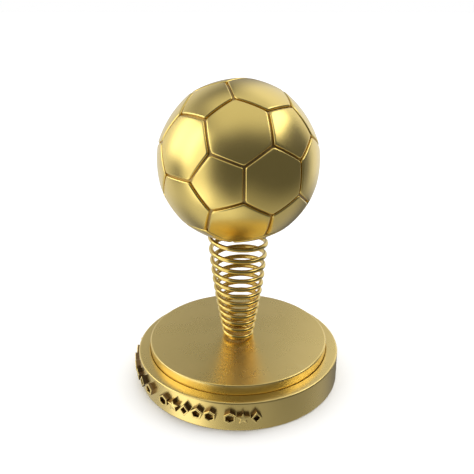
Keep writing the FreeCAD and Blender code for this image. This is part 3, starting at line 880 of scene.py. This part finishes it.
def build_ceiling_light():
    """A broad white ceiling that lights the floor and draws the soft shadow on it."""
    data = bpy.data.lights.new("ceiling", "SUN")
    data.energy = CEILING_LIGHT
    data.angle = math.radians(110.0)
    data.color = (1.0, 0.99, 0.97)
    ceiling = bpy.data.objects.new("ceiling", data)
    ceiling.rotation_euler = (math.radians(-8.0), math.radians(6.0), 0.0)
    ceiling.visible_glossy = False
    bpy.context.scene.collection.objects.link(ceiling)


# name: (azimuth from the camera towards its right, elevation, half width, half height,
# soft edge, brightness), angles in degrees
SOFTBOXES = {
    "left_key": (-60.0, 3.0, 21.0, 45.0, 16.0, 1.25),
    "left_high": (-92.0, 23.0, 18.0, 18.0, 13.0, 2.0),
    "right_lamp": (94.0, 45.0, 17.0, 10.0, 8.0, 2.9),
    "back_right": (145.0, 15.0, 25.0, 37.0, 20.0, 0.95),
    "back_left": (-138.0, -2.0, 37.0, 38.0, 32.0, 0.8),
    "overhead": (10.0, 90.0, 31.0, 33.0, 26.0, 0.72),
    "floor_left": (-60.0, -52.0, 31.0, 29.0, 23.0, 0.7),
    "floor_front": (60.0, -66.0, 51.0, 30.0, 31.0, 0.36),
}
ROOM_LIGHT = 0.13


def direction(azimuth, elevation):
    a, e = math.radians(azimuth), math.radians(elevation)
    return Vector((math.sin(a) * math.cos(e), -math.cos(a) * math.cos(e), math.sin(e)))


def dotted(tree, way, vector):
    node = tree.nodes.new("ShaderNodeVectorMath")
    node.operation = "DOT_PRODUCT"
    tree.links.new(way, node.inputs[0])
    node.inputs[1].default_value = vector
    return node.outputs["Value"]


def soft_edge(tree, value, low, high):
    node = tree.nodes.new("ShaderNodeMapRange")
    node.interpolation_type = "SMOOTHSTEP"
    node.inputs["From Min"].default_value = low
    node.inputs["From Max"].default_value = high
    tree.links.new(value, node.inputs["Value"])
    return node.outputs["Result"]


def softbox_mask(tree, way, azimuth, elevation, half_width, half_height, edge):
    """1 inside a rounded window of the sky, 0 outside, with a soft edge."""
    axis = direction(azimuth, elevation)
    side = axis.cross(UP).normalized()
    rise = side.cross(axis)
    x = arithmetic(tree, "ARCTAN2", dotted(tree, way, side), dotted(tree, way, axis))
    y = arithmetic(tree, "ARCSINE", dotted(tree, way, rise), 0.0)
    masks = []
    for value, half in ((x, half_width), (y, half_height)):
        size = arithmetic(tree, "ABSOLUTE", value, 0.0)
        inner, outer = math.radians(half - edge / 2), math.radians(half + edge / 2)
        masks.append(soft_edge(tree, size, outer, inner))
    return arithmetic(tree, "MULTIPLY", *masks)


def build_world():
    """A white backdrop for the camera; in reflections, a dim room with softboxes."""
    world = bpy.data.worlds.new("studio")
    bpy.context.scene.world = world
    world.use_nodes = True
    tree = world.node_tree
    tree.nodes.clear()
    way = tree.nodes.new("ShaderNodeTexCoord").outputs["Generated"]
    light = ROOM_LIGHT
    for azimuth, elevation, half_width, half_height, edge, brightness in SOFTBOXES.values():
        mask = softbox_mask(tree, way, azimuth, elevation, half_width, half_height, edge)
        light = arithmetic(tree, "ADD", light, arithmetic(tree, "MULTIPLY", mask, brightness))
    room = tree.nodes.new("ShaderNodeBackground")
    tree.links.new(light, room.inputs["Strength"])
    backdrop = tree.nodes.new("ShaderNodeBackground")
    backdrop.inputs["Color"].default_value = (1.0, 1.0, 1.0, 1.0)
    rays = tree.nodes.new("ShaderNodeLightPath")
    mix = tree.nodes.new("ShaderNodeMixShader")
    output = tree.nodes.new("ShaderNodeOutputWorld")
    tree.links.new(rays.outputs["Is Camera Ray"], mix.inputs[0])
    tree.links.new(room.outputs[0], mix.inputs[1])
    tree.links.new(backdrop.outputs[0], mix.inputs[2])
    tree.links.new(mix.outputs[0], output.inputs["Surface"])


CAMERA_DISTANCE = 309.8 * MM
CAMERA_HEIGHT = 208.5 * MM
CAMERA_PITCH = 21.54
CAMERA_PAN = 0.126
CAMERA_LENS = 44.72


def build_camera():
    data = bpy.data.cameras.new("camera")
    data.lens = CAMERA_LENS
    data.sensor_width = 36.0
    data.clip_start = 0.01
    camera = bpy.data.objects.new("camera", data)
    camera.location = (0.0, -CAMERA_DISTANCE, CAMERA_HEIGHT)
    camera.rotation_euler = (math.radians(90.0 - CAMERA_PITCH), 0.0, math.radians(CAMERA_PAN))
    bpy.context.scene.collection.objects.link(camera)
    bpy.context.scene.camera = camera


build_camera()
dress_cad_nodes()
build_plinths()
build_frieze()
build_spring()
build_boss()
build_ball()
build_floor()
build_ceiling_light()
build_world()
bpy.context.scene.view_settings.view_transform = "Standard"
